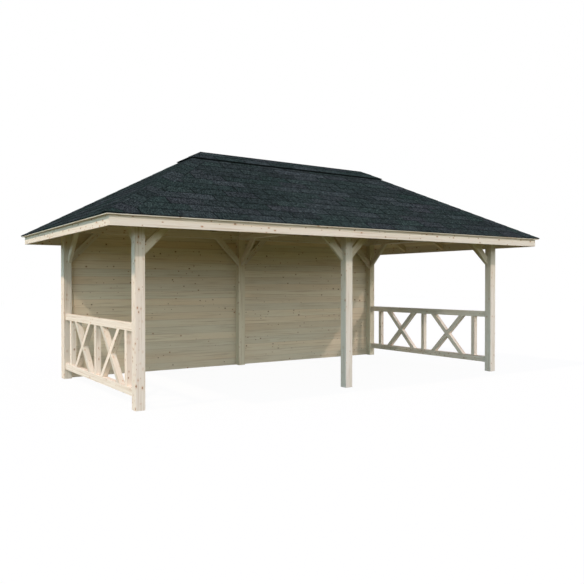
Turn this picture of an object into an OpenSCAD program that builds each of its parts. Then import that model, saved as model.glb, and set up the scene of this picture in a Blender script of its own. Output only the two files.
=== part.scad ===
// Open garden gazebo of planed spruce: six posts, braced beams, two railings, a boarded rear wall
// and a hipped roof with shingles. Millimetres, +X along the length, +Y to the rear wall, +Z up.
// The origin is on the ground, at the centre of the rectangle that the posts stand on.

/* [Frame] */
// Length over the outer faces of the corner posts
frame_length = 6200; // [5400:10:7400]
// Depth over the outer faces of the corner posts
frame_depth = 3160; // [2900:10:3600]
// Side of the square posts, and width of the beams on them
post_side = 120; // [100:1:140]
// Chamfer on the long edges of the posts and beams
edge_chamfer = 5; // [1:0.5:10]
// Height from the ground to the underside of the beams
clear_height = 2235; // [2100:5:2500]
// Height of the beams
beam_height = 120; // [100:1:160]

/* [Braces] */
// Width of a brace across its flat side
brace_width = 95; // [70:1:110]
// Thickness of a brace
brace_thickness = 45; // [35:1:60]
// How far a brace reaches along the beam and down the post
brace_reach = 470; // [350:5:550]

/* [Railings] */
// Height of the rails' cross-section
rail_height = 95; // [70:1:120]
// Thickness of the rails, balusters and crosses
rail_thickness = 70; // [45:1:85]
// Height of the top rail's upper face above the ground
railing_top = 993; // [900:1:1100]
// Height of the bottom rail's lower face above the ground
railing_base = 145; // [80:1:200]
// Width of a baluster along the railing
baluster_width = 70; // [45:1:90]
// Clear width between a post and the baluster next to it
baluster_gap = 240; // [150:5:300]
// Width of a cross's timbers
cross_width = 70; // [45:1:90]

/* [Rear wall] */
// Thickness of the wall boards
wall_thickness = 28; // [19:1:34]
// Height that each wall board covers
wall_cover = 120.5; // [90:0.5:180]
// Clear height between the wall and the hip rafters over it
wall_gap = 8; // [3:1:60]
// Width of the V-groove at each board joint
groove_width = 9; // [4:1:16]
// Depth of the V-groove at each board joint
groove_depth = 4; // [2:0.5:8]

/* [Roof frame] */
// Pitch of all four slopes, in degrees
roof_pitch = 29.6; // [22:0.1:38]
// Width of the common, jack and king rafters
rafter_width = 45; // [35:1:60]
// Depth of the rafters, square to the slope
rafter_depth = 95; // [80:1:120]
// Depth of the bird's mouth that seats a rafter on its beam
seat_notch = 27; // [15:1:35]
// Distance of each jack rafter from the ridge end, along the eave
jack_offset = 1000; // [700:5:1200]
// Number of common rafters on each long slope
common_rafters = 4; // [2:1:6]
// Width of the hip rafters
hip_width = 45; // [35:1:60]
// How much deeper than the other rafters a hip rafter is, measured plumb
hip_extra = 15; // [0:1:25]
// Width of the ridge beam
ridge_width = 45; // [35:1:60]
// Height of the ridge beam
ridge_height = 145; // [120:1:200]
// Distance from the posts' outer faces to the fascia's outer face
overhang = 440; // [300:5:600]
// Thickness of the fascia boards
fascia_thickness = 20; // [15:1:30]
// Height of the fascia boards at their outer face
fascia_height = 128; // [115:1:160]

/* [Roof covering] */
// Thickness of the roof boarding
boarding = 18; // [15:1:25]
// How far the boarding runs past the fascia
boarding_reach = 25; // [10:1:40]
// Thickness of the eave trim on the boarding's edge
trim_thickness = 15; // [10:1:25]
// Height of the eave trim at its outer face
trim_height = 14; // [10:1:45]
// How far the shingles hang past the eave trim
drip = 8; // [2:1:15]
// Height of each shingle course that shows, along the slope
course_exposure = 197; // [120:1:250]
// Thickness of the shingle layer at a course's lower edge
shingle_butt = 9; // [7:0.5:14]
// Thickness of the shingle layer at a course's upper edge
shingle_head = 5; // [3:0.5:6]
// Half width of the hip shingles, seen from above
hip_cover = 170; // [80:1:175]
// Thickness of the hip shingles
hip_cover_thickness = 5; // [3:0.5:10]
// Width of the ridge hood on each slope
hood_width = 300; // [290:1:400]
// Thickness of the ridge hood
hood_thickness = 22; // [15:1:40]

/* [Hidden] */
// Overrun of the cutting shapes
overrun = 10;
// Colours
spruce = [0.86, 0.82, 0.74];
shaded_spruce = [0.74, 0.69, 0.58];
slate = [0.26, 0.29, 0.31];

// Plan of the frame
half_length = frame_length / 2;
half_depth = frame_depth / 2;
ridge_half = half_length - half_depth;
post_x = half_length - post_side / 2;
post_y = half_depth - post_side / 2;
beam_top = clear_height + beam_height;
lap_z = clear_height + beam_height / 2;
rail_span = frame_depth - 2 * post_side;

// Braces are cut at 45 degrees, and stand a chamfer in from the posts' inner faces
brace_cut = brace_width / cos(45);
brace_y = post_side / 2 - edge_chamfer - brace_thickness / 2;

// The opening of a railing, between its rails, and the cut of a cross's 45-degree timbers
railing_low = railing_base + rail_height;
railing_high = railing_top - rail_height;
cross_half = (railing_high - railing_low) / 2;
cross_cut = cross_width / cos(45);
baluster_spacing = rail_span / 2 - baluster_gap - baluster_width / 2;

// The roof's heights are measured on the plane of the rafters' upper faces, at a distance r from
// the ridge line: slope_z(r), with plumb heights added for what lies above
slope_rise = tan(roof_pitch);
rafter_plumb = rafter_depth / cos(roof_pitch);
ridge_z = beam_top + rafter_plumb - seat_notch + half_depth * slope_rise;
seat_r = half_depth - seat_notch / slope_rise;
tail_r = half_depth + overhang - fascia_thickness;
fascia_r = half_depth + overhang;
boarding_r = fascia_r + boarding_reach;
trim_r = boarding_r + trim_thickness;
drip_r = trim_r + drip;
roof_reach = drip_r + overrun;
boarding_lift = boarding / cos(roof_pitch);
head_lift = boarding_lift + shingle_head / cos(roof_pitch);
butt_lift = boarding_lift + shingle_butt / cos(roof_pitch);
hip_lift = butt_lift + hip_cover_thickness / cos(roof_pitch);
hood_lift = butt_lift + hood_thickness / cos(roof_pitch);
roof_top = ridge_z + hood_lift + overrun;
hip_gap = hip_width / 2 * sqrt(2);
hip_band = hip_cover * sqrt(2);
hood_r = hood_width * cos(roof_pitch);
wall_top = ridge_z - (half_depth + wall_thickness) * slope_rise - rafter_plumb - hip_extra - wall_gap;
course_run = course_exposure * cos(roof_pitch);
courses = ceil(drip_r / course_run);

// Height of a roof layer at the distance r from the ridge line
function slope_z(r, lift = 0) = ridge_z - r * slope_rise + lift;

// Each side of the roof has its own turn, its own start on the ridge and half a length of ridge
function side_turn(side) = side == "front" ? -90 : side == "rear" ? 90 : side == "left" ? 180 : 0;
function side_start(side) = side == "right" ? ridge_half : side == "left" ? -ridge_half : 0;
function side_ridge(side) = side == "front" || side == "rear" ? ridge_half : 0;

// Children drawn with x outward from the ridge and y along the eave, brought to a side of the roof
module on_side(side) {
    translate([side_start(side), 0, 0])
        rotate([0, 0, side_turn(side)])
            children();
}

// An outline of distances and heights, swept along the eave
module sweep(span) {
    rotate([90, 0, 0])
        linear_extrude(height = span, center = true)
            children();
}

// The space over one side's part of the plan, which ends at the hips, or a gap short of them
module side_space(side, gap = 0) {
    ridge = side_ridge(side);
    eave = ridge + roof_reach - gap;
    start = ridge > 0 ? [[gap, ridge], [gap, -ridge]] : [[gap, 0]];
    linear_extrude(height = roof_top)
        polygon(concat(start, [[roof_reach, -eave], [roof_reach, eave]]));
}

// A roof piece with one outline along a whole side, mitred at the hips
module mitred(side, outline) {
    on_side(side)
        intersection() {
            sweep(frame_length + 2 * roof_reach)
                polygon(outline);
            side_space(side);
        }
}

// Everything under the two slopes that meet at a hip, with x and y outward from the ridge end
module under_hip(lift) {
    outline = [[0, 0], [roof_reach, 0], [roof_reach, slope_z(roof_reach, lift)], [0, slope_z(0, lift)]];
    intersection() {
        sweep(2 * roof_reach)
            polygon(outline);
        rotate([0, 0, 90])
            sweep(2 * roof_reach)
                polygon(outline);
    }
}

// Children drawn for the corner at +X and +Y, repeated at all four corners
module at_corners() {
    for (x_side = [0, 1], y_side = [0, 1])
        mirror([x_side, 0, 0])
            mirror([0, y_side, 0])
                translate([ridge_half, 0, 0])
                    children();
}

// Cross-section of a timber with chamfered edges
module planed_section(width, height) {
    x = width / 2;
    y = height / 2;
    c = edge_chamfer;
    polygon([
        [-x + c, -y], [x - c, -y], [x, -y + c], [x, y - c],
        [x - c, y], [-x + c, y], [-x, y - c], [-x, -y + c]
    ]);
}

// A post, with its middle at x_place and y_place
module post(x_place, y_place) {
    color(spruce)
        translate([x_place, y_place, 0])
            linear_extrude(height = clear_height)
                planed_section(post_side, post_side);
}

// A beam along the length, halved from above where the cross beams lie in it
module long_beam(y_place) {
    lap = post_side + 2 * overrun;
    color(spruce)
        difference() {
            translate([0, y_place, lap_z])
                rotate([90, 0, 90])
                    linear_extrude(height = frame_length, center = true)
                        planed_section(post_side, beam_height);
            for (x_place = [-post_x - overrun, 0, post_x + overrun]) {
                lap_length = x_place == 0 ? post_side : lap;
                translate([x_place - lap_length / 2, y_place - lap / 2, lap_z])
                    cube([lap_length, lap, beam_height]);
            }
        }
}

// A beam across the depth, halved from below at both ends
module cross_beam(x_place) {
    lap = post_side + 2 * overrun;
    color(spruce)
        difference() {
            translate([x_place, 0, lap_z])
                rotate([90, 0, 0])
                    linear_extrude(height = frame_depth, center = true)
                        planed_section(post_side, beam_height);
            for (y_place = [-post_y - overrun, post_y + overrun])
                translate([x_place - lap / 2, y_place - lap / 2, lap_z - beam_height])
                    cube([lap, lap, beam_height]);
        }
}

// A brace that rises along +X from a post's face at x = 0 to the underside of a beam
module brace() {
    low = clear_height - brace_reach;
    rotate([90, 0, 0])
        linear_extrude(height = brace_thickness, center = true)
            polygon([
                [0, low], [brace_reach, clear_height],
                [brace_reach - brace_cut, clear_height], [0, low + brace_cut]
            ]);
}

// The braces of the front row of posts: along the front, and inward to the cross beams
module row_braces() {
    color(spruce) {
        for (x_side = [0, 1])
            mirror([x_side, 0, 0]) {
                translate([post_side / 2, brace_y - post_y, 0])
                    brace();
                translate([post_x - post_side / 2, brace_y - post_y, 0])
                    mirror([1, 0, 0])
                        brace();
                translate([post_x - brace_y, post_side / 2 - post_y, 0])
                    rotate([0, 0, 90])
                        brace();
            }
        translate([0, post_side / 2 - post_y, 0])
            rotate([0, 0, 90])
                brace();
    }
}

// The two rails of the right-hand railing, between its posts
module rails() {
    color(spruce)
        for (z_place = [railing_base, railing_high])
            translate([post_x - rail_thickness / 2, -rail_span / 2, z_place])
                cube([rail_thickness, rail_span, rail_height]);
}

// The balusters between the rails
module balusters() {
    color(spruce)
        for (y_place = [-baluster_spacing, 0, baluster_spacing])
            translate([post_x - rail_thickness / 2, y_place - baluster_width / 2, railing_low])
                cube([rail_thickness, baluster_width, railing_high - railing_low]);
}

// One timber of each cross, rising to the rear or to the front, halved where it meets the other
module cross_timbers(rise) {
    color(spruce)
        for (y_place = [-baluster_spacing / 2, baluster_spacing / 2])
            translate([post_x, y_place, railing_low + cross_half])
                difference() {
                    cross_timber(rise, rail_thickness);
                    translate([rise * rail_thickness / 2, 0, 0])
                        cross_timber(-rise, rail_thickness);
                }
}

// A timber at 45 degrees between the rails, with its middle at the origin
module cross_timber(rise, thickness) {
    half_cut = cross_cut / 2;
    rotate([90, 0, 90])
        linear_extrude(height = thickness, center = true)
            polygon([
                [-rise * cross_half - half_cut, -cross_half], [-rise * cross_half + half_cut, -cross_half],
                [rise * cross_half + half_cut, cross_half], [rise * cross_half - half_cut, cross_half]
            ]);
}

// Half of the rear wall, from the middle of its middle post to the end
module wall_half() {
    joints = [for (z = [wall_cover:wall_cover:wall_top - groove_width]) z];
    function v_groove(face, bottom, z) = [
        [face, z - groove_width / 2], [bottom, z], [face, z + groove_width / 2]
    ];
    inner = [for (z = joints) each v_groove(0, groove_depth, z)];
    outer = [for (z = joints) each v_groove(wall_thickness, wall_thickness - groove_depth, z)];
    outer_down = [for (i = [len(outer) - 1:-1:0]) outer[i]];
    color(shaded_spruce)
        translate([0, half_depth, 0])
            rotate([90, 0, 90])
                linear_extrude(height = half_length)
                    polygon(concat([[0, 0]], inner, [[0, wall_top], [wall_thickness, wall_top]],
                        outer_down, [[wall_thickness, 0]]));
}

// The ridge beam, with its top bevelled to both slopes
module ridge_beam() {
    side = ridge_width / 2;
    low = ridge_z - ridge_height;
    color(shaded_spruce)
        rotate([90, 0, 90])
            linear_extrude(height = 2 * ridge_half, center = true)
                polygon([[-side, low], [side, low], [side, slope_z(side)], [0, ridge_z], [-side, slope_z(side)]]);
}

// A rafter with its plumb cut at the distance head_r, its bird's mouth and its tail
module rafter(head_r, along) {
    translate([0, along, 0])
        sweep(rafter_width)
            polygon([
                [head_r, slope_z(head_r)], [tail_r, slope_z(tail_r)],
                [tail_r, slope_z(tail_r) - rafter_plumb], [half_depth, slope_z(half_depth) - rafter_plumb],
                [half_depth, beam_top], [seat_r, beam_top],
                [head_r, slope_z(head_r) - rafter_plumb]
            ]);
}

// The rafters of one side: those that reach the ridge, and a jack rafter to each hip
module side_rafters(side) {
    ridge = side_ridge(side);
    outer = ridge - rafter_width / 2;
    step = 2 * outer / (common_rafters - 1);
    color(shaded_spruce)
        on_side(side) {
            if (ridge > 0)
                for (k = [0:common_rafters - 1])
                    rafter(ridge_width / 2, k * step - outer);
            else
                rafter(0, 0);
            for (jack = [-1, 1])
                intersection() {
                    rafter(0, jack * (ridge + jack_offset));
                    side_space(side, hip_gap);
                }
        }
}

// A hip rafter, backed to both slopes and notched over the corner of the beams
module hip_rafter() {
    head = ridge_width / 2;
    reach = tail_r * sqrt(2);
    low = rafter_plumb + hip_extra;
    difference() {
        intersection() {
            linear_extrude(height = roof_top)
                polygon([
                    [0, head], [head + hip_gap, head], [tail_r, tail_r - hip_gap],
                    [tail_r, tail_r], [tail_r - hip_gap, tail_r], [0, hip_gap]
                ]);
            rotate([0, 0, 45])
                sweep(2 * hip_width)
                    polygon([
                        [0, ridge_z - low], [reach, slope_z(tail_r) - low],
                        [reach, slope_z(tail_r)], [0, ridge_z]
                    ]);
            under_hip(0);
        }
        translate([half_depth - post_side, 0, clear_height])
            cube([post_side, half_depth, beam_height]);
        translate([0, half_depth - post_side, clear_height])
            cube([half_depth, post_side, beam_height]);
    }
}

module hip_rafters() {
    color(shaded_spruce)
        at_corners()
            hip_rafter();
}

// A fascia board over the rafter tails, bevelled to the boarding
module fascia(side) {
    low = slope_z(fascia_r) - fascia_height;
    color(spruce)
        mitred(side, [[tail_r, low], [fascia_r, low], [fascia_r, slope_z(fascia_r)], [tail_r, slope_z(tail_r)]]);
}

// The trim that covers the boarding's edge
module eave_trim(side) {
    low = slope_z(trim_r, boarding_lift) - trim_height;
    color(spruce)
        mitred(side, [
            [boarding_r, low], [trim_r, low],
            [trim_r, slope_z(trim_r, boarding_lift)], [boarding_r, slope_z(boarding_r, boarding_lift)]
        ]);
}

// The boarding of one side
module roof_boarding(side) {
    color(shaded_spruce)
        mitred(side, [
            [0, ridge_z], [boarding_r, slope_z(boarding_r)],
            [boarding_r, slope_z(boarding_r, boarding_lift)], [0, slope_z(0, boarding_lift)]
        ]);
}

// The shingles of one side, with a step at the lower edge of each course
module roof_shingles(side) {
    function course_r(k) = max(0, drip_r - k * course_run);
    steps = [for (k = [0:courses - 1]) each [
        [course_r(k), slope_z(course_r(k), butt_lift)],
        [course_r(k + 1), slope_z(course_r(k + 1), head_lift)]
    ]];
    color(slate)
        mitred(side, concat(
            [[0, slope_z(0, boarding_lift)], [drip_r, slope_z(drip_r, boarding_lift)]], steps));
}

// The folded shingles along the hips, from the eave up to the ridge hood
module hip_shingles() {
    color(slate)
        at_corners()
            difference() {
                intersection() {
                    linear_extrude(height = roof_top)
                        polygon([
                            [hood_r, hood_r], [hood_r, hood_r - hip_band], [drip_r, drip_r - hip_band],
                            [drip_r, drip_r], [drip_r - hip_band, drip_r], [hood_r - hip_band, hood_r]
                        ]);
                    under_hip(hip_lift);
                }
                translate([0, 0, -overrun])
                    under_hip(butt_lift + overrun);
            }
}

// A top line, closed down to the ground, with a level brim at both ends where brim isn't zero
function with_brim(top, brim) =
    let (right = top[0], left = top[len(top) - 1], brims = brim > 0 ? [brim] : [])
    concat(
        [[left[0] - brim, 0], [right[0] + brim, 0]],
        [for (b = brims) [right[0] + b, right[1]]],
        top,
        [for (b = brims) [left[0] - b, left[1]]]);

// Everything under the top of the roof, as far as reach from the ridge line, with a level brim round it
module under_ridge(reach, lift, brim = 0) {
    eave = slope_z(reach, lift);
    crest = slope_z(0, lift);
    end = ridge_half + reach;
    intersection() {
        rotate([90, 0, 90])
            linear_extrude(height = 2 * (end + brim), center = true)
                polygon(with_brim([[reach, eave], [0, crest], [-reach, eave]], brim));
        rotate([90, 0, 0])
            linear_extrude(height = 2 * (reach + brim), center = true)
                polygon(with_brim([[end, eave], [ridge_half, crest], [-ridge_half, crest], [-end, eave]], brim));
    }
}

// The raised hood over the ridge and the heads of the hips
module ridge_hood() {
    color(slate)
        difference() {
            under_ridge(hood_r, hood_lift);
            translate([0, 0, -overrun])
                under_ridge(hood_r, butt_lift + overrun, overrun);
        }
}

post(-post_x, -post_y);  // front_left_post
post(0, -post_y);  // front_middle_post
post(post_x, -post_y);  // front_right_post
post(-post_x, post_y);  // rear_left_post
post(0, post_y);  // rear_middle_post
post(post_x, post_y);  // rear_right_post
long_beam(-post_y);  // front_beam
long_beam(post_y);  // rear_beam
cross_beam(-post_x);  // left_beam
cross_beam(post_x);  // right_beam
cross_beam(0);  // tie_beam
row_braces();  // front_braces
mirror([0, 1, 0]) row_braces();  // rear_braces
mirror([1, 0, 0]) rails();  // left_rails
mirror([1, 0, 0]) balusters();  // left_balusters
mirror([1, 0, 0]) cross_timbers(1);  // left_rising_cross_timbers
mirror([1, 0, 0]) cross_timbers(-1);  // left_falling_cross_timbers
rails();  // right_rails
balusters();  // right_balusters
cross_timbers(1);  // right_rising_cross_timbers
cross_timbers(-1);  // right_falling_cross_timbers
mirror([1, 0, 0]) wall_half();  // rear_wall_left
wall_half();  // rear_wall_right
ridge_beam();
hip_rafters();
side_rafters("front");  // front_rafters
side_rafters("rear");  // rear_rafters
side_rafters("left");  // left_rafters
side_rafters("right");  // right_rafters
fascia("front");  // front_fascia
fascia("rear");  // rear_fascia
fascia("left");  // left_fascia
fascia("right");  // right_fascia
union() { eave_trim("front"); eave_trim("rear"); }  // long_eave_trims
union() { eave_trim("left"); eave_trim("right"); }  // end_eave_trims
roof_boarding("front");  // front_boarding
roof_boarding("rear");  // rear_boarding
roof_boarding("left");  // left_boarding
roof_boarding("right");  // right_boarding
roof_shingles("front");  // front_shingles
roof_shingles("rear");  // rear_shingles
roof_shingles("left");  // left_shingles
roof_shingles("right");  // right_shingles
hip_shingles();
ridge_hood();
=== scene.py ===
import math
import random

import bmesh
import bpy
from mathutils import Matrix, Vector


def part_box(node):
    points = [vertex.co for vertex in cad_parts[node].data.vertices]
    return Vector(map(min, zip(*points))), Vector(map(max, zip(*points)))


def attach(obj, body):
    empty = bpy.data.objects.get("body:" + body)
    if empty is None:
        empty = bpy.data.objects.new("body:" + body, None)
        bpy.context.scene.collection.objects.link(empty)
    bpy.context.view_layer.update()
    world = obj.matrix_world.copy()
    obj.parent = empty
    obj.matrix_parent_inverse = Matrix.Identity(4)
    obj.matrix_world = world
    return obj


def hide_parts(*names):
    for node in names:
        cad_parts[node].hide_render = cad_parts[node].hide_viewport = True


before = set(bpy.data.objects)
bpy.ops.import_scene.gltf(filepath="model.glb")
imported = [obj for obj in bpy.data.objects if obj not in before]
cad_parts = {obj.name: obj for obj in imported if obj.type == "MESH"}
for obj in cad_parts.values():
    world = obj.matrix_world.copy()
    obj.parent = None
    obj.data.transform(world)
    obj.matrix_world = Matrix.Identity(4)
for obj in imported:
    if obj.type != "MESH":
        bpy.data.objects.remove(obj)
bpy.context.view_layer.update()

# The photograph's view, in pixels of its square frame, degrees and metres
PHOTO_SIDE = 584
FOCAL_PIXELS = 653.72
SENSOR = 36.0
EYE = (-5.739, -8.722, 1.448)
EYE_TURN = -33.7775
EYE_TILT = -0.7094

# The roof, in metres. Its plan comes from the frame, and its heights from its pitch
PITCH = math.radians(29.6)
RISE = math.tan(PITCH)
PLUMB = 1 / math.cos(PITCH)
BOARDING = 0.018
SHINGLE_BUTT = 0.009
DRIP_R = -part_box("front_shingles")[0].y
HALF_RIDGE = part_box("front_shingles")[1].x - DRIP_R
BOARDING_R = -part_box("front_boarding")[0].y
HOOD_R = -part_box("ridge_hood")[0].y
RIDGE_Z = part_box("front_boarding")[1].z - BOARDING * PLUMB
DECK_LIFT = BOARDING * PLUMB
BUTT_LIFT = DECK_LIFT + SHINGLE_BUTT * PLUMB
HOOD_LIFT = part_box("ridge_hood")[1].z - RIDGE_Z

# Each side of the roof: its turn about the middle, its half ridge and its start on the ridge
SIDES = {
    "front": (0, HALF_RIDGE, 0),
    "right": (math.pi / 2, 0, HALF_RIDGE),
    "rear": (math.pi, HALF_RIDGE, 0),
    "left": (-math.pi / 2, 0, -HALF_RIDGE),
}

# Shingles: the width of a tab, the slot beside it, its thickness, the length of a course on the slope and
# in plan, how far a tab falls in a course, and over how many courses and in how many parts it is made
TAB_WIDTH = 0.457
TAB_SLOT = 0.009
TAB_THICKNESS = 0.0048
COURSE = 0.197
COURSE_RUN = COURSE * math.cos(PITCH)
COURSE_STEP = 0.004
TAB_LAPS = 2.06
TAB_CUTS = 3

# The felt under the shingles
UNDERLAY = 0.001
UNDERLAY_SETBACK = 0.004

# Hip shingles: the width of a wing, the exposed length, the thickness, how far their edges sink and where
# that starts, the height of the lower edge, how far they fall, and their lengths and parts
WING = 0.182
HIP_EXPOSURE = 0.2
HIP_THICKNESS = 0.003
HIP_SINK = 0.006
HIP_FLAT = 0.13
HIP_BUTT = 0.006
HIP_STEP = 0.003
HIP_LAPS = 1.35
HIP_CUTS = 14

# The hood's shingles and the board under them
HOOD_COURSES = 2
HOOD_SETBACK = 0.012

# Boards: the cover of a wall board and of a roof board, and their grooves
WALL_COVER = 0.1205
GROOVE_HEIGHT = 0.0025
GROOVE_DEPTH = 0.002
TONGUE = 0.006
TONGUE_HALF = 0.003
BOARD_PLAY = 0.0004
DECK_COVER = 0.121
DECK_GROOVE = 0.005

# Eased edges of planed timber, and what counts as flat, as square and as one point
EASE = 0.0025
EASE_STEPS = 2
EASE_ANGLE = math.radians(50)
FLAT_ANGLE = math.radians(0.4)
SQUARE = 0.05
WELD = 1e-5

# Seeds of the chance numbers
TIMBER_SEED = 11
WALL_SEED = 21
DECK_SEED = 31
TAB_SEED = 41
UNDERLAY_SEED = 51
HIP_SEED = 61

# Which nodes are timber, by the slot of the record that gives their finish
TIMBERS = {
    "frame_timber": [
        "front_left_post", "front_middle_post", "front_right_post",
        "rear_left_post", "rear_middle_post", "rear_right_post",
        "front_beam", "rear_beam", "left_beam", "right_beam", "tie_beam",
        "front_braces", "rear_braces",
    ],
    "railing_timber": [
        side + part
        for side in ("left", "right")
        for part in ("_rails", "_balusters", "_rising_cross_timbers", "_falling_cross_timbers")
    ],
    "roof_timber": ["ridge_beam", "hip_rafters"] + [side + "_rafters" for side in SIDES],
    "eave_timber": [side + "_fascia" for side in SIDES] + ["long_eave_trims", "end_eave_trims"],
}

# Nodes with a finish that differs from their slot's: painted shade in a yellower copy of the frame's spruce
# for the rear posts and a darker one for the front braces, painted shade in a darker copy of the railing's
# for the left rising crosses, and painted light in a paler copy of the eave spruce for the eave trims
SPECIAL_TIMBERS = {
    "rear_middle_post": "rear_shade_timber",
    "rear_right_post": "rear_shade_timber",
    "front_braces": "brace_shade_timber",
    "left_rising_cross_timbers": "cross_timber",
    "long_eave_trims": "trim_lit_timber",
    "end_eave_trims": "trim_lit_timber",
}


# Node trees

class Sock:
    """An output of a node. Arithmetic on it adds Math nodes to its tree."""

    def __init__(self, tree, socket=None):
        self.tree = tree
        self.socket = socket

    def add(self, kind, settings=None, values=None, out=0):
        """Adds a node: its settings first, then the values or links of its inputs."""
        node = self.tree.nodes.new(kind)
        for key, value in (settings or {}).items():
            if key == "stops":
                fill_ramp(node.color_ramp, value)
            else:
                setattr(node, key, value)
        for key, value in (values or {}).items():
            for link in value if isinstance(value, list) else [value]:
                if isinstance(link, Sock):
                    self.tree.links.new(link.socket, node.inputs[key])
                else:
                    node.inputs[key].default_value = link
        return Sock(self.tree, node.outputs[out] if node.outputs else None)

    def math(self, operation, *values):
        return self.add("ShaderNodeMath", {"operation": operation}, dict(enumerate(values)))

    def __add__(self, other):
        return self.math("ADD", self, other)

    __radd__ = __add__

    def __sub__(self, other):
        return self.math("SUBTRACT", self, other)

    def __rsub__(self, other):
        return self.math("SUBTRACT", other, self)

    def __mul__(self, other):
        return self.math("MULTIPLY", self, other)

    __rmul__ = __mul__

    def __truediv__(self, other):
        return self.math("DIVIDE", self, other)

    def __pow__(self, other):
        return self.math("POWER", self, other)

    def __neg__(self):
        return self * -1

    def fract(self):
        return self.math("FRACT", self)

    def lot(self, factor):
        """Another chance number, drawn from this one."""
        return (self * factor).fract()

    def floor(self):
        return self.math("FLOOR", self)

    def size(self):
        return self.math("ABSOLUTE", self)

    def low(self, other):
        return self.math("MINIMUM", self, other)

    def high(self, other):
        return self.math("MAXIMUM", self, other)

    def parts(self):
        """The three numbers of a vector."""
        return [self.add("ShaderNodeSeparateXYZ", None, {0: self}, axis) for axis in range(3)]

    def xyz(self, x, y, z):
        return self.add("ShaderNodeCombineXYZ", None, {0: x, 1: y, 2: z})

    def vector(self, operation, *values):
        return self.add("ShaderNodeVectorMath", {"operation": operation}, dict(enumerate(values)))

    def times(self, factors):
        return self.vector("MULTIPLY", self, factors)

    def scaled(self, factor):
        return self.add("ShaderNodeVectorMath", {"operation": "SCALE"}, {0: self, "Scale": factor})

    def mix(self, share, first, second, blend="MIX"):
        """A mix of two colours."""
        settings = {"data_type": "RGBA", "blend_type": blend}
        return self.add("ShaderNodeMix", settings, {0: share, 6: first, 7: second}, 2)

    def span(self, low, high, start=0.0, end=1.0):
        """This number's smooth way from start to end as it goes from low to high."""
        values = {"Value": self, "From Min": low, "From Max": high, "To Min": start, "To Max": end}
        return self.add("ShaderNodeMapRange", {"interpolation_type": "SMOOTHSTEP"}, values)

    def noise(self, scale=1.0, detail=2.0, roughness=0.5):
        values = {"Vector": self, "Scale": scale, "Detail": detail, "Roughness": roughness}
        return self.add("ShaderNodeTexNoise", None, values, "Fac")

    def pattern(self, stretch, detail, roughness):
        """Noise that is stretched by a factor for each axis."""
        return self.times(stretch).noise(1.0, detail, roughness)

    def ramp(self, stops):
        return self.add("ShaderNodeValToRGB", {"stops": stops}, {"Fac": self}, "Color")

    def attribute(self, name, out):
        return self.add("ShaderNodeAttribute", {"attribute_name": name}, None, out)


def fill_ramp(ramp, stops):
    """Sets a colour ramp's stops, each a place and a colour."""
    while len(ramp.elements) < len(stops):
        ramp.elements.new(1.0)
    for element, (place, colour) in zip(ramp.elements, stops):
        element.position = place
        element.color = rgba(colour)


def rgba(colour):
    return (*colour, 1.0)


def new_finish(name):
    """An empty material and the bench that its nodes are added on."""
    material = bpy.data.materials.new(name)
    material.use_nodes = True
    material.node_tree.nodes.clear()
    return material, Sock(material.node_tree)


def lay_on(bench, colour, roughness, relief, depth, strength, sheen):
    """Ends a material: its colour, its gloss and its relief, which is depth metres high."""
    bump = bench.add("ShaderNodeBump", None, {"Height": relief, "Distance": depth, "Strength": strength})
    values = {"Base Color": colour, "Roughness": roughness, "Normal": bump, "Specular IOR Level": sheen}
    shader = bench.add("ShaderNodeBsdfPrincipled", None, values)
    bench.add("ShaderNodeOutputMaterial", None, {"Surface": shader})


# Finishes

# How far apart two logs lie in the pattern, and the growth rings' gap, waver, bend round a knot and edge
LOG_RUN = 53.0
RING_GAP = 0.0105
RING_WAVER = 0.016
RING_BEND = 0.006
RING_EDGE = 4.0

# Factors that draw other chance numbers from a piece's own
SIDE_LOT = 7.31
DEPTH_LOT = 3.17
KNOT_LOT = 4.37
WARM_LOT = 5.71
SHADE_LOT = 9.13
SLOT_LOT = 6.61

# Patterns in the wood: the stretch along, across and through the grain, the detail and the roughness
WAVER = ((1.1, 9.0, 9.0), 3.0, 0.5)
FIBRE = ((6.0, 260.0, 260.0), 2.0, 0.6)
STREAK = ((0.55, 13.0, 13.0), 3.0, 0.55)
RESIN = ((1.3, 52.0, 52.0), 3.0, 0.6)
BLUSH = ((0.35, 4.0, 4.0), 2.0, 0.5)

# Where each pattern begins to show and shows in full, the seams' being painted shade, partly dirt
STREAK_EDGE = (0.45, 0.75)
SEAM_SHADE_PATCHES = (0.35, 0.6)
RESIN_EDGE = (0.52, 0.72)
BLUSH_EDGE = (0.42, 0.7)
WARM_EDGE = (0.3, 1.0)
SEAM_SHADE_EDGE = (0.009, 0.002)
KNOT_EDGE = (1.0, 0.6)
HALO_EDGE = (2.4, 0.7)

# How much each pattern tells in the colour, the seams' being painted shade, partly dirt
LATE_SHARE = 0.6
FIBRE_SHARE = 0.5
PALE_SHARE = 0.15
STREAK_SHARE = 0.45
RESIN_SHARE = 0.5
BLUSH_SHARE = 0.5
WARM_SHARE = 0.45
SEAM_SHADE_SHARE = 0.3
HALO_SHARE = 0.35
KNOT_COVER = 0.92
SHADES = (0.93, 1.05)
RESIN_COLOUR = (0.46, 0.3, 0.17)
SEAM_SHADE_COLOUR = (0.4, 0.27, 0.16)
HALO_COLOUR = (0.52, 0.31, 0.17)
DARK_KNOT = (0.07, 0.04, 0.022)
RED_KNOT = (0.42, 0.2, 0.1)

# Gloss and relief of planed wood, with the relief's height in metres
WOOD_ROUGHNESS = 0.56
FIBRE_ROUGHNESS = 0.16
KNOT_GLOSS = 0.12
WOOD_SHEEN = 0.12
GRAIN_RELIEF = 0.5
KNOT_RELIEF = 0.8
WOOD_HEIGHT = 0.0006
WOOD_STRENGTH = 0.5

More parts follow.
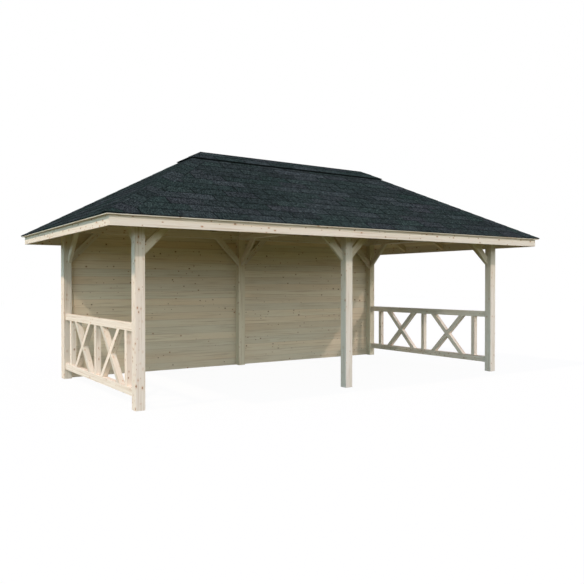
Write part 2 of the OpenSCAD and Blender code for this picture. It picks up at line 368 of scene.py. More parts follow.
# Knots: their space, the cells to a metre along, across and through a timber, the share of cells with a
# knot, its size in cells, and how much redder it is than a dark one
POST_KNOTS = ("3D", (14.0, 25.0, 25.0), 0.55, 0.17, 0.5)
BATTEN_KNOTS = ("3D", (14.0, 28.0, 28.0), 0.6, 0.19, 0.4)
BOARD_KNOTS = ("2D", (7.0, 8.3, 1.0), 0.34, 0.075, 0.0)
EAVE_KNOTS = ("2D", (9.0, 15.6, 1.0), 0.46, 0.12, 0.4)

# A piece's own share of knots, as the least factor and what chance adds, the smallest knot's share of the
# size, and the step in which a knot shows
FEWEST_KNOTS = 0.4
KNOT_SPREAD = 1.2
SMALLEST_KNOT = 0.5
KNOT_STEP = 0.01


def spruce(name, pale, deep, warm, knots, pith, cover=0.0):
    """Planed spruce: rings round a pith line, fibres, streaks, knots, and painted shade, partly dirt, along
    the seams between boards.
    """
    material, bench = new_finish(name)
    grain = bench.attribute("grain", "Vector")
    piece = bench.attribute("piece", "Fac")
    log = bench.xyz(piece * LOG_RUN, (piece.lot(SIDE_LOT) - 0.5) * pith, piece.lot(DEPTH_LOT) * pith)
    spot = bench.vector("ADD", grain, log)
    across, through = spot.parts()[1:]

    # Knots
    knot_space, knot_cell, knot_share, knot_radius, red_share = knots
    space = {"voronoi_dimensions": knot_space}
    cells = {"Vector": spot.times(knot_cell), "Scale": 1.0}
    knot_way = bench.add("ShaderNodeTexVoronoi", space, cells, "Distance")
    knot_kind, knot_tone, knot_size = bench.add("ShaderNodeTexVoronoi", space, cells, "Color").parts()
    size = knot_size * knot_size * knot_radius + knot_radius * SMALLEST_KNOT
    clear = 1 - (piece.lot(KNOT_LOT) * KNOT_SPREAD + FEWEST_KNOTS) * knot_share
    shown = knot_kind.span(clear - KNOT_STEP, clear)
    knot = (knot_way / size).span(*KNOT_EDGE) * shown
    halo = (knot_way / size).span(*HALO_EDGE) * shown

    # Growth rings, bent round the knots
    radius = (across * across + through * through) ** 0.5
    ring_place = (radius + spot.pattern(*WAVER) * RING_WAVER + halo * RING_BEND) / RING_GAP
    late_wood = ring_place.fract() ** RING_EDGE
    fibre = spot.pattern(*FIBRE)
    streak = spot.pattern(*STREAK)
    resin = spot.pattern(*RESIN)
    blush = spot.pattern(*BLUSH)

    colour = bench.mix(late_wood * LATE_SHARE + fibre * FIBRE_SHARE - PALE_SHARE, rgba(pale), rgba(deep))
    colour = bench.mix(streak.span(*STREAK_EDGE) * STREAK_SHARE, colour, rgba(deep))
    warmth = blush.span(*BLUSH_EDGE) * BLUSH_SHARE + piece.lot(WARM_LOT).span(*WARM_EDGE) * WARM_SHARE
    colour = bench.mix(warmth, colour, rgba(warm))
    colour = bench.mix(resin.span(*RESIN_EDGE) * RESIN_SHARE, colour, rgba(RESIN_COLOUR))
    # Painted shade, partly dirt, along the seams between boards, in patches by the streaks
    if cover:
        edge = grain.parts()[1]
        seam_shade = edge.low(cover - edge).size().span(*SEAM_SHADE_EDGE) * streak.span(*SEAM_SHADE_PATCHES)
        colour = bench.mix(seam_shade * SEAM_SHADE_SHARE, colour, rgba(SEAM_SHADE_COLOUR))
    shade = piece.lot(SHADE_LOT).span(0.0, 1.0, *SHADES)
    colour = bench.mix(1.0, colour, bench.xyz(shade, shade, shade), "MULTIPLY")
    colour = bench.mix(halo * HALO_SHARE, colour, rgba(HALO_COLOUR))
    knot_colour = bench.mix(knot_tone + red_share, rgba(DARK_KNOT), rgba(RED_KNOT))
    colour = bench.mix(knot * KNOT_COVER, colour, knot_colour)

    roughness = fibre * FIBRE_ROUGHNESS + WOOD_ROUGHNESS - knot * KNOT_GLOSS
    relief = fibre * GRAIN_RELIEF + late_wood * GRAIN_RELIEF + knot * KNOT_RELIEF
    lay_on(bench, colour, roughness, relief, WOOD_HEIGHT, WOOD_STRENGTH, WOOD_SHEEN)
    return material


# Felt: the tones of its shingles, and a weathered tone that comes in patches
FELT_TONES = (
    (0.0, (0.015, 0.02, 0.02)),
    (0.2, (0.0155, 0.0265, 0.0235)),
    (0.42, (0.0255, 0.0305, 0.0325)),
    (0.6, (0.017, 0.023, 0.023)),
    (0.8, (0.0205, 0.033, 0.0295)),
    (1.0, (0.029, 0.036, 0.038)),
)
PATCH_COLOUR = (0.018, 0.026, 0.025)
PATCH_SCALE = 0.85
PATCH_EDGE = (0.35, 0.7)
PATCH_SHARE = 0.5

# Granules, clumps of them and a mottle in the felt: their scales, and the range of each and of its light
GRANULES = 360.0
CLUMPS = (72.0, 44.0, 44.0)
MOTTLE = ((75.0, 24.0, 24.0), 2.0, 0.6)
GRANULE_LIGHT = (0.0, 1.0, 0.7, 1.3)
CLUMP_LIGHT = (0.0, 1.0, 0.52, 1.5)
MOTTLE_LIGHT = (0.3, 0.7, 0.5, 1.52)
SPECK_COLOUR = (0.13, 0.15, 0.16)
SPECK_EDGE = (0.93, 0.97)
SPECK_SHARE = 0.3

# Painted shade along one side of some shingles, beside the slot, and a painted shadow along each lower
# edge, in metres and as light
SLOT_SHADE = (0.004, 0.012, 1.0, 0.0)
SLOT_SHADE_CHANCE = (0.5, 0.55)
SLOT_SHADE_SHARE = 0.8
BUTT_SHADOW = (0.0, 0.012, 0.45, 1.0)

# Gloss and relief of the felt, with the relief's height in metres
FELT_ROUGHNESS = 0.84
GRANULE_ROUGHNESS = 0.1
FELT_SHEEN = 0.0
GRANULE_RELIEF = 0.6
MOTTLE_RELIEF = 0.7
FELT_HEIGHT = 0.0016
FELT_STRENGTH = 0.9


def shingle_felt(name):
    """Bitumen felt with slate granules, each shingle in a tone of its own, some with painted shade beside
    the slot, and a painted shadow along each lower edge.
    """
    material, bench = new_finish(name)
    place = bench.add("ShaderNodeTexCoord", None, None, "Object")
    grain = bench.attribute("grain", "Vector")
    piece = bench.attribute("piece", "Fac")
    patch = place.noise(PATCH_SCALE).span(*PATCH_EDGE) * PATCH_SHARE
    tone = bench.mix(patch, piece.ramp(FELT_TONES), rgba(PATCH_COLOUR))
    roll = bench.vector("ADD", grain, bench.xyz(piece * LOG_RUN, 0.0, 0.0))
    mottle = roll.pattern(*MOTTLE)
    granule = bench.add("ShaderNodeTexVoronoi", None, {"Vector": place, "Scale": GRANULES}, "Color")
    granule_light, speck, granule_height = granule.parts()
    clump_cells = {"Vector": roll.times(CLUMPS), "Scale": 1.0}
    clump = bench.add("ShaderNodeTexVoronoi", None, clump_cells, "Color").parts()[0]
    light = mottle.span(*MOTTLE_LIGHT) * clump.span(*CLUMP_LIGHT) * granule_light.span(*GRANULE_LIGHT)
    beside, above = grain.parts()[:2]
    # Painted shade beside the slot of some shingles, and a painted shadow along each shingle's lower edge
    slot = beside.span(*SLOT_SHADE) * piece.lot(SLOT_LOT).span(*SLOT_SHADE_CHANCE)
    light = light * (1 - slot * SLOT_SHADE_SHARE) * above.span(*BUTT_SHADOW)
    colour = bench.mix(1.0, tone, bench.xyz(light, light, light), "MULTIPLY")
    colour = bench.mix(speck.span(*SPECK_EDGE) * SPECK_SHARE, colour, rgba(SPECK_COLOUR))
    roughness = granule_light * GRANULE_ROUGHNESS + FELT_ROUGHNESS
    relief = granule_height * GRANULE_RELIEF + mottle * MOTTLE_RELIEF
    lay_on(bench, colour, roughness, relief, FELT_HEIGHT, FELT_STRENGTH, FELT_SHEEN)
    return material


# Meshes

def new_piece(name, mesh):
    piece = bpy.data.objects.new(name, mesh)
    bpy.context.scene.collection.objects.link(piece)
    return piece


def hand_over(piece, slot, *nodes):
    """The piece belongs to the one body and stands for some nodes, which it hides; the slot is not used."""
    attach(piece, "root")
    if nodes:
        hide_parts(*nodes)


def islands(bm):
    """The connected solids of a mesh, each as a list of its points."""
    bm.verts.index_update()
    seen = set()
    for start in bm.verts:
        if start.index in seen:
            continue
        seen.add(start.index)
        island = [start]
        for vert in island:
            for edge in vert.link_edges:
                other = edge.other_vert(vert)
                if other.index not in seen:
                    seen.add(other.index)
                    island.append(other)
        yield island


def grain_axes(bm, island):
    """The directions along, across and through a timber, from its longest edge and widest face."""
    members = {vert.index for vert in island}
    edges = [edge for edge in bm.edges if edge.verts[0].index in members]
    longest = max(edges, key=lambda edge: (round(edge.calc_length(), 5), -edge.index))
    along = (longest.verts[1].co - longest.verts[0].co).normalized()
    along *= math.copysign(1, max(along, key=abs))
    faces = [face for face in bm.faces if face.verts[0].index in members]
    beside = [face for face in faces if abs(face.normal.dot(along)) < SQUARE]
    widest = max(beside, key=lambda face: (round(face.calc_area(), 6), -face.index))
    through = widest.normal.copy()
    return along, through.cross(along).normalized(), through


def store(mesh, name, kind, values):
    """Keeps one value for each point of a mesh as a named attribute."""
    attribute = mesh.attributes.new(name, kind, "POINT")
    flat = [number for value in values for number in value] if kind == "FLOAT_VECTOR" else values
    attribute.data.foreach_set("vector" if kind == "FLOAT_VECTOR" else "value", flat)


def merged(node):
    """A copy of a node's mesh, welded, with its flat faces whole."""
    bm = bmesh.new()
    bm.from_mesh(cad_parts[node].data)
    bmesh.ops.remove_doubles(bm, verts=bm.verts, dist=WELD)
    bmesh.ops.dissolve_limit(bm, angle_limit=FLAT_ANGLE, verts=bm.verts, edges=bm.edges)
    return bm


def ease_edges(bm, width, angle):
    """Rounds the edges that turn by more than an angle."""
    bm.normal_update()
    sharp = [edge for edge in bm.edges if edge.calc_face_angle(0) > angle]
    bmesh.ops.bevel(
        bm, geom=sharp, offset=width, segments=EASE_STEPS, profile=0.5, affect="EDGES", clamp_overlap=True
    )


def dress_timber(node, slot, material, chance):
    """A node's timbers with eased edges, each with its own grain."""
    bm = merged(node)
    ease_edges(bm, EASE, EASE_ANGLE)
    bm.normal_update()
    bm.edges.index_update()
    bm.faces.index_update()
    grain = [None] * len(bm.verts)
    piece = [0.0] * len(bm.verts)
    for island in islands(bm):
        axes = grain_axes(bm, island)
        middle = sum((vert.co for vert in island), Vector()) / len(island)
        share = chance.random()
        for vert in island:
            grain[vert.index] = [axis.dot(vert.co - middle) for axis in axes]
            piece[vert.index] = share
    mesh = bpy.data.meshes.new("dressed_" + node)
    bm.to_mesh(mesh)
    bm.free()
    store(mesh, "grain", "FLOAT_VECTOR", grain)
    store(mesh, "piece", "FLOAT", piece)
    mesh.materials.append(material)
    hand_over(new_piece("dressed_" + node, mesh), slot, node)


def prism(name, outline, start, end, cuts=1):
    """A bar from start to end along X, with an outline in Y and Z that turns left."""
    bm = bmesh.new()
    rows = []
    for cut in range(cuts + 1):
        x = start + (end - start) * cut / cuts
        rows.append([bm.verts.new((x, y, z)) for y, z in outline])
    count = len(outline)
    for row, following in zip(rows, rows[1:]):
        for place in range(count):
            beyond = (place + 1) % count
            bm.faces.new((row[place], following[place], following[beyond], row[beyond]))
    bm.faces.new(list(rows[0]))
    bm.faces.new(list(reversed(rows[-1])))
    bmesh.ops.recalc_face_normals(bm, faces=bm.faces)
    mesh = bpy.data.meshes.new(name)
    bm.to_mesh(mesh)
    bm.free()
    return mesh


# Geometry Nodes

KINDS = {float: "NodeSocketFloat", int: "NodeSocketInt", tuple: "NodeSocketVector"}


def sprout(name, values):
    """A tree with one named input for each value, and the way in and out of it."""
    tree = bpy.data.node_groups.new(name, "GeometryNodeTree")
    tree.interface.new_socket("Geometry", in_out="INPUT", socket_type="NodeSocketGeometry")
    for label, value in values.items():
        kind = KINDS.get(type(value), "NodeSocketMaterial")
        tree.interface.new_socket(label, in_out="INPUT", socket_type=kind)
    tree.interface.new_socket("Geometry", in_out="OUTPUT", socket_type="NodeSocketGeometry")
    way_in = tree.nodes.new("NodeGroupInput")
    inputs = {socket.name: Sock(tree, socket) for socket in way_in.outputs if socket.name}
    return tree, Sock(tree), inputs


def scatter(bench, inputs, points, selection=True):
    """Sets the piece that comes in on each point, with a chance number of its own."""
    instances = bench.add("GeometryNodeInstanceOnPoints", None, {
        "Points": points, "Selection": selection, "Instance": inputs["Geometry"],
    })
    chance = bench.add("FunctionNodeRandomValue", {"data_type": "FLOAT"}, {8: inputs["Seed"]}, 1)
    named = bench.add("GeometryNodeStoreNamedAttribute", {"data_type": "FLOAT", "domain": "INSTANCE"}, {
        "Geometry": instances, "Name": "piece", "Value": chance,
    })
    return bench.add("GeometryNodeRealizeInstances", None, {"Geometry": named})


def bear(bench, geometry, material):
    """Ends a tree: sets the material and gives the geometry out."""
    finished = bench.add("GeometryNodeSetMaterial", None, {"Geometry": geometry, "Material": material})
    bench.add("NodeGroupOutput", None, {0: finished})


def grow(name, mesh, make_tree, values):
    """Runs a tree on a mesh and keeps the result as a plain mesh."""
    tree = make_tree(values)
    piece = new_piece(name, mesh)
    modifier = piece.modifiers.new("grow", "NODES")
    modifier.node_group = tree
    for item in tree.interface.items_tree:
        if item.in_out == "INPUT" and item.name in values:
            modifier[item.identifier] = values[item.name]
    depsgraph = bpy.context.evaluated_depsgraph_get()
    grown = bpy.data.meshes.new_from_object(
        piece.evaluated_get(depsgraph), preserve_all_data_layers=True, depsgraph=depsgraph
    )
    piece.modifiers.remove(modifier)
    piece.data = grown
    grown.name = name
    clean(grown)
    return piece


def clean(mesh):
    """Takes out faces that a cut has left without width."""
    bm = bmesh.new()
    bm.from_mesh(mesh)
    bmesh.ops.dissolve_degenerate(bm, dist=WELD, edges=bm.edges)
    bmesh.ops.recalc_face_normals(bm, faces=bm.faces)
    bm.to_mesh(mesh)
    bm.free()


def to_slope(bench, geometry, inputs, x, y, z):
    """Moves points from a side's own space to the roof: x along the eave, y up the slope, z plumb."""
    height = z + inputs["Ridge height"] + y * RISE
    turned = bench.add("ShaderNodeVectorRotate", {"rotation_type": "Z_AXIS"}, {
        "Vector": bench.xyz(x, y, height), "Angle": inputs["Turn"],
    })
    moved = bench.vector("ADD", turned, bench.xyz(inputs["Start"], 0.0, 0.0))
    return bench.add("GeometryNodeSetPosition", None, {"Geometry": geometry, "Position": moved})


def wall_tree(values):
    """Boards one above the other, the last one cut off at the wall's top."""
    tree, bench, inputs = sprout("wall_boards", values)
    line = bench.add("GeometryNodeMeshLine", {"mode": "OFFSET"}, {
        "Count": inputs["Count"], "Offset": bench.xyz(0.0, 0.0, inputs["Cover"]),
    })
    boards = scatter(bench, inputs, line)
    x, y, z = bench.add("GeometryNodeInputPosition").parts()
    place = bench.xyz(x, y, z.low(inputs["Top"]))
    cut = bench.add("GeometryNodeSetPosition", None, {"Geometry": boards, "Position": place})
    bear(bench, cut, inputs["Material"])
    return tree


def deck_tree(values):
    """Boards from the ridge down one slope, cut to the hips and to the eave."""
    tree, bench, inputs = sprout("roof_boards", values)
    line = bench.add("GeometryNodeMeshLine", {"mode": "OFFSET"}, {
        "Count": inputs["Count"], "Offset": bench.xyz(0.0, -inputs["Cover"], 0.0),
    })
    boards = scatter(bench, inputs, line)
    x, y, z = bench.add("GeometryNodeInputPosition").parts()
    y = y.high(-inputs["Reach"])
    reach = inputs["Half ridge"] - y
    placed = to_slope(bench, boards, inputs, x * reach, y, z)
    bear(bench, placed, inputs["Material"])
    return tree


def shingle_tree(values):
    """Courses of shingle tabs up one slope, half a tab apart, cut to the hips and to the ridge."""
    tree, bench, inputs = sprout("shingle_courses", values)
    index = bench.add("GeometryNodeInputIndex")
    width = inputs["Tab width"]
    course = ((index + 0.5) / inputs["Tabs"]).floor()
    tab = index - course * inputs["Tabs"]
    x = (tab - inputs["Tabs"] * 0.5 + (course * 0.5).fract()) * width
    y = course * inputs["Course"] - inputs["Reach"]
    points = bench.add("GeometryNodePoints", None, {
        "Count": inputs["Tabs"] * inputs["Courses"], "Position": bench.xyz(x, y, 0.0),
    })
    inner_edge = (x + width * 0.5).size() - width * 0.5
    on_slope = inner_edge.math("LESS_THAN", inner_edge, inputs["Half ridge"] - y)
    tabs = scatter(bench, inputs, points, on_slope)
    x, y, z = bench.add("GeometryNodeInputPosition").parts()
    y = y.low(0.0)
    reach = inputs["Half ridge"] - y
    placed = to_slope(bench, tabs, inputs, x.low(reach).high(-reach), y, z + inputs["Lift"])
    bear(bench, placed, inputs["Material"])
    return tree


def hip_tree(values):
    """Folded shingles down each hip, cut off at the eaves."""
    tree, bench, inputs = sprout("hip_shingles", values)
    line = bench.add("GeometryNodeMeshLine", {"mode": "OFFSET"}, {
        "Count": inputs["Count"], "Offset": bench.xyz(0.0, -inputs["Exposure"], 0.0),
    })
    x, y, z = bench.add("GeometryNodeInputPosition").parts()
    sink = x.size().span(inputs["Flat"], WING, 0.0, inputs["Sink"])
    place = bench.vector("ADD", inputs["Crest"], bench.xyz(0.0, 0.0, z - sink))
    place = bench.vector("ADD", place, inputs["Down"].scaled(-y))
    place = bench.vector("ADD", place, inputs["Right"].scaled(x.high(0.0)))
    place = bench.vector("ADD", place, inputs["Left"].scaled((-x).high(0.0)))
    x, y, z = place.parts()
    past_front = (-y - inputs["Reach"]).high(0.0)
    past_end = (x - inputs["Reach"] - HALF_RIDGE).high(0.0)
    cut = bench.xyz(x - past_end, y + past_front, z + past_front.high(past_end) * RISE)
    hips = []
    for number, mirror in enumerate(((1, 1, 1), (-1, 1, 1), (-1, -1, 1), (1, -1, 1))):
        caps = scatter(bench, {**inputs, "Seed": inputs["Seed"] + number}, line)
        bent = bench.add("GeometryNodeSetPosition", None, {"Geometry": caps, "Position": cut})
        hips.append(bench.add("GeometryNodeTransform", None, {"Geometry": bent, "Scale": mirror}))
    bear(bench, bench.add("GeometryNodeJoinGeometry", None, {0: hips}), inputs["Material"])
    return tree


# Timbers

# Spruce: the name, the pale, deep and warm tone, the knots, how far the pith may lie from the middle, and
# the cover of boards with painted shade, partly dirt, along their seams
SPRUCES = {
    "frame_timber": (
        "frame_spruce", (0.8, 0.735, 0.645), (0.625, 0.53, 0.415), (0.78, 0.675, 0.57), POST_KNOTS, 0.05,
    ),
    # Painted shade: the frame's spruce, yellower, for the rear posts that stand in shade
    "rear_shade_timber": (
        "rear_spruce", (0.8, 0.73, 0.575), (0.625, 0.525, 0.37), (0.78, 0.67, 0.51), POST_KNOTS, 0.05,
    ),
    # Painted shade: the frame's spruce, darker, for the front braces under the eave
    "brace_shade_timber": (
        "brace_spruce", (0.69, 0.63, 0.5), (0.54, 0.455, 0.32), (0.675, 0.58, 0.44), POST_KNOTS, 0.05,
    ),
    "railing_timber": (
        "railing_spruce", (0.85, 0.77, 0.675), (0.68, 0.57, 0.445), (0.84, 0.715, 0.6), BATTEN_KNOTS, 0.05,
    ),
    # Painted shade: the railing's spruce, darker, for the left rising crosses
    "cross_timber": (
        "cross_spruce", (0.6, 0.57, 0.5), (0.48, 0.415, 0.33), (0.59, 0.52, 0.43), BATTEN_KNOTS, 0.05,
    ),
    "roof_timber": (
        "rafter_spruce", (0.7, 0.62, 0.465), (0.55, 0.45, 0.31), (0.7, 0.56, 0.4), BATTEN_KNOTS, 0.08,
    ),
    "eave_timber": (
        "eave_spruce", (0.74, 0.68, 0.59), (0.6, 0.51, 0.4), (0.73, 0.63, 0.53), EAVE_KNOTS, 0.12,
    ),
    # Painted light: the eave spruce, paler, for the eave trims that lie in the shingles' shadow
    "trim_lit_timber": (
        "trim_spruce", (0.82, 0.76, 0.665), (0.69, 0.6, 0.475), (0.8, 0.705, 0.595), EAVE_KNOTS, 0.12,
    ),
    # Painted shade, partly dirt, along the seams of these boards
    "wall_boards": (
        "wall_spruce", (0.825, 0.735, 0.58), (0.66, 0.54, 0.38), (0.795, 0.625, 0.44), BOARD_KNOTS, 0.16,
        WALL_COVER,
    ),
    "roof_boards": (
        "deck_spruce", (0.75, 0.65, 0.455), (0.59, 0.475, 0.305), (0.73, 0.575, 0.39), BOARD_KNOTS, 0.16,
    ),
}

finishes = {slot: spruce(*recipe) for slot, recipe in SPRUCES.items()}
finishes["shingles"] = shingle_felt("slate_felt")

chance = random.Random(TIMBER_SEED)
for slot, nodes in TIMBERS.items():
    for node in nodes:
        finish = SPECIAL_TIMBERS.get(node, slot)
        dress_timber(node, slot, finishes[finish], chance)


# Rear wall

def wall_outline(cover):
    """The section of a tongued board: two chamfered faces, a groove below and a tongue above."""
    half = (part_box("rear_wall_left")[1].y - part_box("rear_wall_left")[0].y) / 2
    lip = half - GROOVE_DEPTH
    low = BOARD_PLAY
    high = cover - BOARD_PLAY
    return [
        (half, GROOVE_HEIGHT), (half, cover - GROOVE_HEIGHT), (lip, high),
        (TONGUE_HALF, high), (TONGUE_HALF, cover + TONGUE), (-TONGUE_HALF, cover + TONGUE),
        (-TONGUE_HALF, high), (-lip, high), (-half, cover - GROOVE_HEIGHT), (-half, GROOVE_HEIGHT),
        (-lip, low), (-TONGUE_HALF - BOARD_PLAY, low), (-TONGUE_HALF - BOARD_PLAY, TONGUE + low),
        (TONGUE_HALF + BOARD_PLAY, TONGUE + low), (TONGUE_HALF + BOARD_PLAY, low), (lip, low),
    ]


def keep_grain(mesh, order=(0, 1, 2), stretch=1.0):
    """Names a mesh's own coordinates, in the order along, across and through, as its grain."""
    scale = (stretch, 1.0, 1.0)
    grain = [[vert.co[axis] * factor for axis, factor in zip(order, scale)] for vert in mesh.vertices]
    store(mesh, "grain", "FLOAT_VECTOR", grain)


for number, node in enumerate(("rear_wall_left", "rear_wall_right")):
    low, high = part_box(node)
    board = prism("wall_board", wall_outline(WALL_COVER), low.x, high.x)
    keep_grain(board, (0, 2, 1))
    board.transform(Matrix.Translation((0, (low.y + high.y) / 2, low.z)))
    wall = grow(node + "_boards", board, wall_tree, {
        "Count": math.ceil((high.z - low.z) / WALL_COVER - WELD),
        "Cover": WALL_COVER,
        "Top": high.z,
        "Seed": WALL_SEED + number,
        "Material": finishes["wall_boards"],
    })
    hand_over(wall, "wall_boards", node)


# Roof boarding

def deck_outline():
    """The section of a roof board in slope space: flat on top, chamfered below."""
    top = DECK_LIFT - WELD
    edge = BOARD_PLAY / 2
    return [
        (-edge, DECK_GROOVE), (-edge, top), (edge - DECK_COVER, top), (edge - DECK_COVER, DECK_GROOVE),
        (DECK_GROOVE - DECK_COVER, WELD), (-DECK_GROOVE, WELD),
    ]


for number, (side, (turn, half_ridge, start)) in enumerate(SIDES.items()):
    board = prism("roof_board", deck_outline(), -1.0, 1.0)
    keep_grain(board, stretch=half_ridge + BOARDING_R / 2)
    deck = grow(side + "_roof_boards", board, deck_tree, {
        "Count": math.ceil(BOARDING_R / DECK_COVER),
        "Cover": DECK_COVER,
        "Reach": BOARDING_R,
        "Half ridge": float(half_ridge),
        "Ridge height": RIDGE_Z,
        "Turn": float(turn),
        "Start": float(start),
        "Seed": DECK_SEED + number,
        "Material": finishes["roof_boards"],
    })
    hand_over(deck, "roof_boards", side + "_boarding")


# Shingles

def wedge(name, width, course, laps, butt, thickness, fall, cuts):
    """A shingle in slope space: its lower edge at y = 0 is butt high, and it falls away up the slope."""
    length = course * laps
    head = butt - fall * laps
    outline = [
        (0.0, butt - thickness), (length, max(head - thickness, WELD)), (length, head), (0.0, butt),
    ]
    return prism(name, [(y, z * PLUMB) for y, z in outline], 0.0, width, cuts)


def shingle_sides(name, reach, courses, lift):
    """The shingles on all four sides of the roof, or of the hood on it."""
    course = reach / courses
    tabs = 2 * math.ceil((HALF_RIDGE + reach) / TAB_WIDTH) + 2
    for number, (side, (turn, half_ridge, start)) in enumerate(SIDES.items()):
        tab = wedge(
            "tab", TAB_WIDTH - TAB_SLOT, course, TAB_LAPS,
            SHINGLE_BUTT, TAB_THICKNESS, COURSE_STEP, TAB_CUTS,
        )
        keep_grain(tab)
        yield side, grow(side + name, tab, shingle_tree, {
            "Tabs": tabs,
            "Courses": courses,
            "Tab width": TAB_WIDTH,
            "Course": course,
            "Reach": reach,
            "Lift": lift,
            "Half ridge": float(half_ridge),
            "Ridge height": RIDGE_Z,
            "Turn": float(turn),
            "Start": float(start),
            "Seed": TAB_SEED + number,
            "Material": finishes["shingles"],
        })


def hip_directions():
    """Down the hip at the front right corner, and square to it on the front and on the right slope."""
    down = Vector((1, -1, -RISE)).normalized()
    front_normal = Vector((0, -RISE, 1)).normalized()
    right_normal = Vector((RISE, 0, 1)).normalized()
    return tuple(down), tuple(down.cross(front_normal)), tuple(right_normal.cross(down))


def core_under_hood():
    """The board under the hood's shingles, set back from their edge."""
    bm = merged("ridge_hood")
    for vert in bm.verts:
        distance = max(abs(vert.co.y), abs(vert.co.x) - HALF_RIDGE, 0)
        above = vert.co.z - RIDGE_Z + distance * RISE
        if above > (BUTT_LIFT + HOOD_LIFT) / 2:
            vert.co.z -= (SHINGLE_BUTT - TAB_THICKNESS / 2) * PLUMB
        if distance > HOOD_R / 2:
            vert.co.x -= math.copysign(HOOD_SETBACK, vert.co.x)
            vert.co.y -= math.copysign(HOOD_SETBACK, vert.co.y)
            vert.co.z += HOOD_SETBACK * RISE
    mesh = bpy.data.meshes.new("ridge_hood_board")
    bm.to_mesh(mesh)
    bm.free()
    mesh.materials.append(finishes["shingles"])
    return new_piece("ridge_hood_board", mesh)


for side, shingles in shingle_sides("_shingle_tabs", DRIP_R, math.ceil(DRIP_R / COURSE_RUN), DECK_LIFT):
    hand_over(shingles, "shingles", side + "_shingles")

for side, (turn, half_ridge, start) in SIDES.items():
    reach = DRIP_R - UNDERLAY_SETBACK
    low = DECK_LIFT + WELD
    high = low + UNDERLAY
    sheet = prism("underlay", [(-reach, low), (0.0, low), (0.0, high), (-reach, high)], -1.0, 1.0)
    underlay = grow(side + "_underlay", sheet, deck_tree, {
        "Count": 1,
        "Cover": reach,
        "Reach": reach,
        "Half ridge": float(half_ridge),
        "Ridge height": RIDGE_Z,
        "Turn": float(turn),
        "Start": float(start),
        "Seed": UNDERLAY_SEED,
        "Material": finishes["shingles"],
    })
    hand_over(underlay, "shingles")

for side, shingles in shingle_sides(
    "_hood_tabs", HOOD_R, HOOD_COURSES, HOOD_LIFT - SHINGLE_BUTT * PLUMB
):
    hand_over(shingles, "shingles")
hand_over(core_under_hood(), "shingles", "ridge_hood")

down, left, right = hip_directions()
hip_length = (DRIP_R - HOOD_R) * math.sqrt(2 + RISE * RISE)
hip_cap = wedge(
    "hip_cap", 2 * WING, HIP_EXPOSURE, HIP_LAPS, HIP_BUTT, HIP_THICKNESS, HIP_STEP, HIP_CUTS
)
keep_grain(hip_cap)
hip_cap.transform(Matrix.Translation((-WING, -HIP_EXPOSURE, 0)))
hips = grow("hip_shingle_caps", hip_cap, hip_tree, {
    "Count": math.ceil(hip_length / HIP_EXPOSURE) + 1,
    "Exposure": HIP_EXPOSURE,
    "Flat": HIP_FLAT,
    "Sink": HIP_SINK,
    "Reach": DRIP_R,
    "Crest": (HALF_RIDGE + HOOD_R, -HOOD_R, RIDGE_Z - HOOD_R * RISE + BUTT_LIFT),
    "Down": down,
    "Left": left,
    "Right": right,
    "Seed": HIP_SEED,
    "Material": finishes["shingles"],
})
hand_over(hips, "shingles", "hip_shingles")


# Camera, light and floor

WHITE = (1.0, 1.0, 1.0)
FRONT_SKY = (1.81, 2.0, 2.14)
LEFT_SKY = (1.14, 1.75, 1.94)
RIGHT_SKY = (1.95, 1.75, 1.35)
REAR_SKY = (1.06, 1.22, 1.32)
ZENITH = (0.325, 0.46, 1.2)
GROUND_COLOUR = (0.105, 0.112, 0.041)
FLOOR_COLOUR = (0.75, 0.75, 0.75)
FLOOR_Z = -0.001
FLOOR_HALF = 40.0
PAPER_SHARE = 0.955

# The sky's heights, as the sine of the angle above the horizon: its lower edge, the band where its level
# falls, with both levels, and the band where the zenith's colour comes in
HORIZON_EDGE = (-0.03, 0.1)
SKY_LEVEL = (0.12, 0.34, 1.27, 0.66)
ZENITH_EDGE = (0.42, 0.75)

# Distant lamps: the heading, the strength, the colour and the width in degrees
SUNS = {
    "front_right_sun": ((-1.0, 1.75, -1.2), 0.72, (1.0, 0.83, 0.76), 1.5),
    "front_left_sun": ((1.0, 1.75, -1.2), 0.65, (1.0, 0.9, 0.81), 1.5),
    "left_sun": ((1.0, 0.08, -1.145), 2.75, (1.0, 0.79, 0.615), 2.0),
}


def aim_camera():
    camera = bpy.data.cameras.new("camera")
    camera.sensor_width = SENSOR
    camera.lens = FOCAL_PIXELS * SENSOR / PHOTO_SIDE
    stand = bpy.data.objects.new("camera", camera)
    stand.location = EYE
    stand.rotation_euler = (math.radians(90 + EYE_TILT), 0, math.radians(EYE_TURN))
    bpy.context.scene.collection.objects.link(stand)
    bpy.context.scene.camera = stand


def add_sun(name, heading, strength, colour, width):
    """A distant lamp that shines along a heading."""
    sun = bpy.data.lights.new(name, "SUN")
    sun.energy = strength
    sun.color = colour
    sun.angle = math.radians(width)
    lamp = bpy.data.objects.new(name, sun)
    lamp.rotation_euler = Vector(heading).to_track_quat("-Z", "Y").to_euler()
    bpy.context.scene.collection.objects.link(lamp)


def seen_directly(bench):
    """One for rays that show the background itself, also in gloss and through glass."""
    kinds = ("Is Camera Ray", "Is Glossy Ray", "Is Transmission Ray")
    camera, glossy, through = (bench.add("ShaderNodeLightPath", None, None, kind) for kind in kinds)
    return camera.high(glossy).high(through)


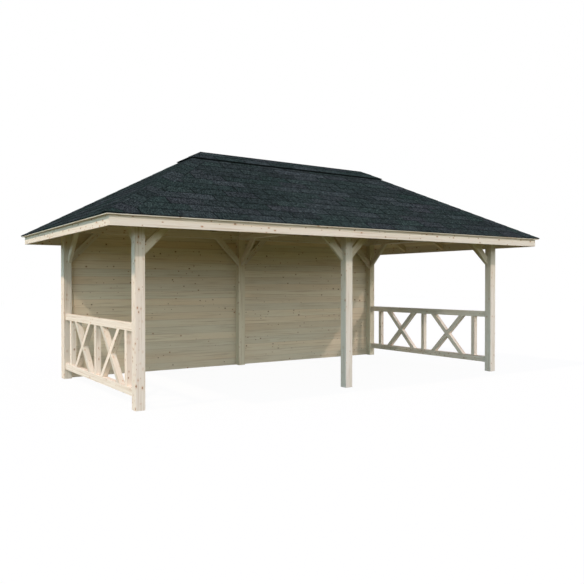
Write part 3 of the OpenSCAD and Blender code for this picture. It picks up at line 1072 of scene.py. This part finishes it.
def light_world():
    """A soft sky with a colour for each side, brightest just above the horizon. It shows as white paper."""
    world = bpy.data.worlds.new("studio")
    world.use_nodes = True
    world.node_tree.nodes.clear()
    bench = Sock(world.node_tree)
    side, depth, height = bench.add("ShaderNodeTexCoord", None, None, "Generated").parts()
    sideways = side * side / (side * side + depth * depth).high(WELD)
    lengthways = bench.mix(depth.math("LESS_THAN", depth, 0.0), rgba(REAR_SKY), rgba(FRONT_SKY))
    crossways = bench.mix(side.math("LESS_THAN", side, 0.0), rgba(RIGHT_SKY), rgba(LEFT_SKY))
    colour = bench.mix(sideways, lengthways, crossways)
    colour = bench.mix(height.span(*ZENITH_EDGE), colour, rgba(ZENITH))
    level = height.span(*HORIZON_EDGE) * height.span(*SKY_LEVEL)
    sky = bench.add("ShaderNodeBackground", None, {"Color": colour, "Strength": level})
    paper = bench.add("ShaderNodeBackground", None, {"Color": rgba(WHITE), "Strength": 1.0})
    both = bench.add("ShaderNodeMixShader", None, {0: seen_directly(bench), 1: sky, 2: paper})
    bench.add("ShaderNodeOutputWorld", None, {"Surface": both})
    bpy.context.scene.world = world


def lay_floor():
    """A floor that shows as white paper with a faint shadow, and throws little light back."""
    material, bench = new_finish("pale_floor")
    ground = bench.add("ShaderNodeBsdfDiffuse", None, {"Color": rgba(GROUND_COLOUR)})
    pale = bench.add("ShaderNodeBsdfDiffuse", None, {"Color": rgba(FLOOR_COLOUR)})
    paper = bench.add("ShaderNodeEmission", None, {"Color": rgba(WHITE), "Strength": 1.0})
    shown = bench.add("ShaderNodeMixShader", None, {0: PAPER_SHARE, 1: pale, 2: paper})
    both = bench.add("ShaderNodeMixShader", None, {0: seen_directly(bench), 1: ground, 2: shown})
    bench.add("ShaderNodeOutputMaterial", None, {"Surface": both})
    bm = bmesh.new()
    place = Matrix.Translation((0, 0, FLOOR_Z))
    bmesh.ops.create_grid(bm, x_segments=1, y_segments=1, size=FLOOR_HALF, matrix=place)
    mesh = bpy.data.meshes.new("floor")
    bm.to_mesh(mesh)
    bm.free()
    mesh.materials.append(material)
    new_piece("floor", mesh)


aim_camera()
for name, (heading, strength, colour, width) in SUNS.items():
    add_sun(name, heading, strength, colour, width)
light_world()
lay_floor()
bpy.context.scene.view_settings.view_transform = "Standard"
